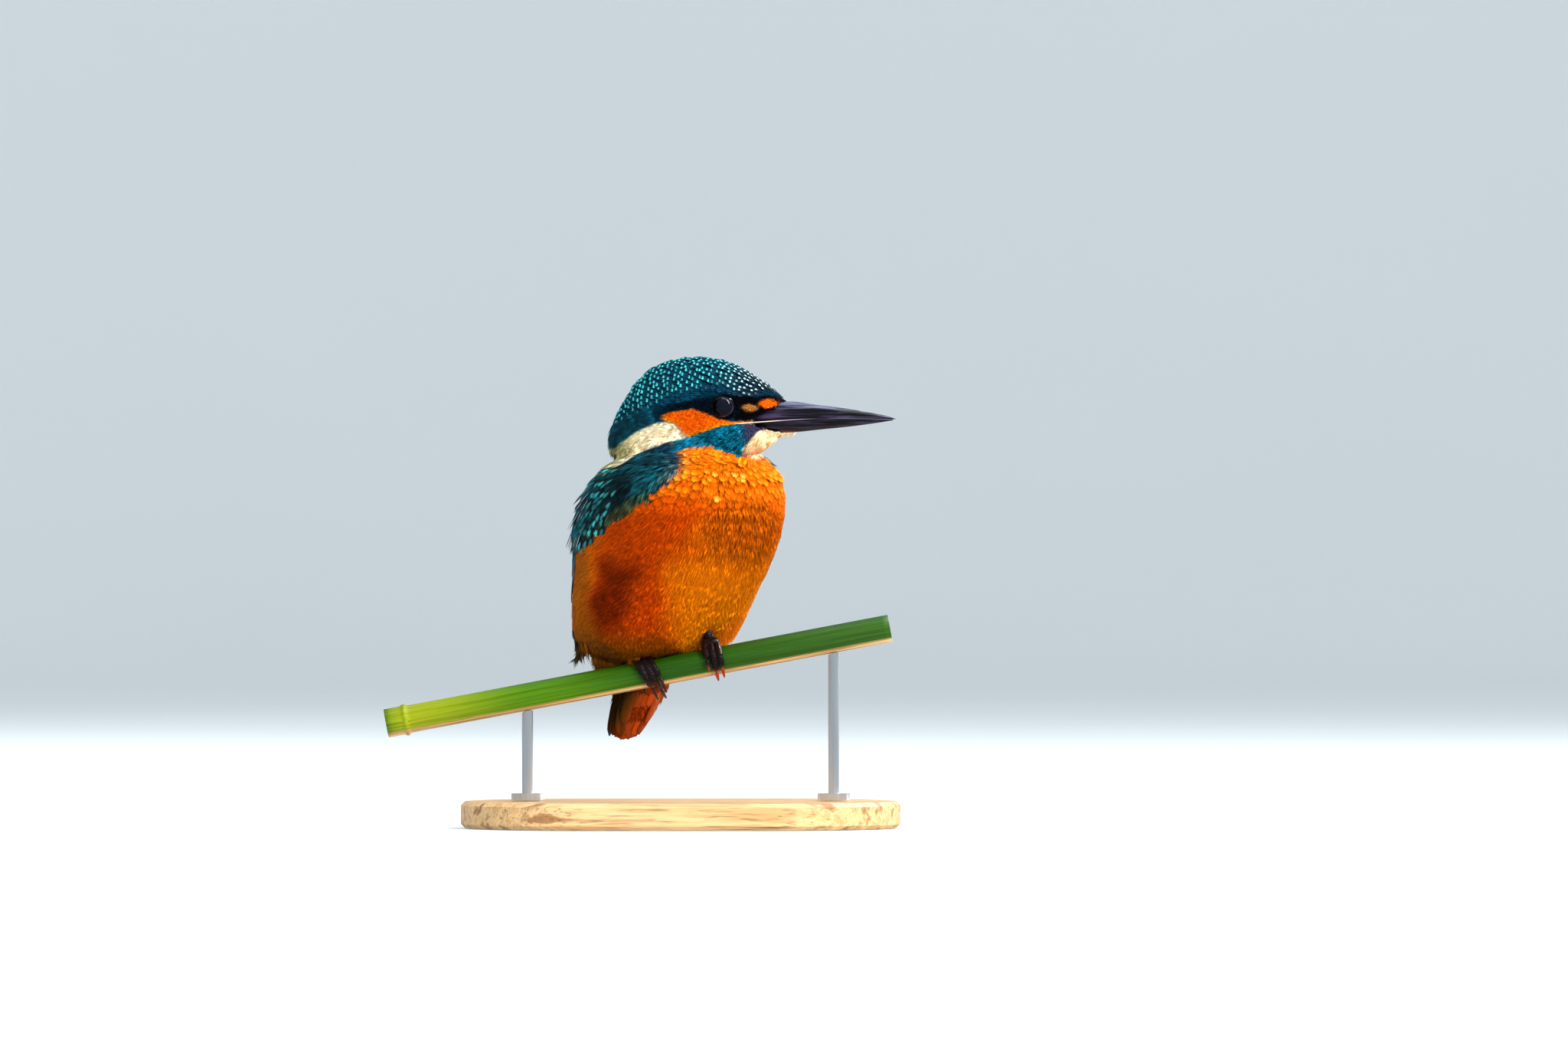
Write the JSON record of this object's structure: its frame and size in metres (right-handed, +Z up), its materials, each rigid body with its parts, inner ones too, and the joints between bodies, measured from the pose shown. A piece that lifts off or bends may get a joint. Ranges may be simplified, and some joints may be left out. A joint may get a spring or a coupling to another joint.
{
  "type": "kingfisher model on a display stand",
  "caption": "Life-size still model of a perched common kingfisher on a cut length of reed, held over a flat base by rods.",
  "frame": {"origin": "centre of the underside of the stand's flat base", "axes": "+X along the reed, which climbs towards +X; -Y the side the breast faces; +Z up"},
  "size_m": [0.1568, 0.078, 0.1412],
  "materials": {
    "crown": "feathers, dark blue-green crown with turquoise spots",
    "cream": "feathers, cream and orange about the neck",
    "orange": "feathers, burnt orange below and azure along the back",
    "wing_blue": "feathers, dark blue-green with turquoise spots",
    "rufous": "feathers, rufous below and blue-black above",
    "horn": "near-black horn, satin",
    "eye": "near-black wet eye",
    "leg": "dark red-brown scaled skin, satin",
    "reed": "green reed stem with fine ribs and a tan underside",
    "wood": "dark stained wood, satin",
    "steel": "brushed steel"
  },
  "bodies": {
    "root": {"head": "crown", "neck": "cream", "trunk": "orange", "wing_right": "wing_blue", "wing_left": "wing_blue", "tail": "rufous", "undertail": "rufous", "bill_upper": "horn", "bill_lower": "horn", "eye_right": "eye", "eye_left": "eye", "leg_right": "leg", "toe_right_inner": "leg", "claw_right_inner": "horn", "toe_right_middle": "leg", "claw_right_middle": "horn", "toe_right_outer": "leg", "claw_right_outer": "horn", "toe_right_hind": "leg", "claw_right_hind": "horn", "leg_left": "leg", "toe_left_inner": "leg", "claw_left_inner": "horn", "toe_left_middle": "leg", "claw_left_middle": "horn", "toe_left_outer": "leg", "claw_left_outer": "horn", "toe_left_hind": "leg", "claw_left_hind": "horn", "perch": "reed", "stand_base": "wood", "stand_rod_left": "steel", "stand_rod_right": "steel"}
  },
  "joints": []
}
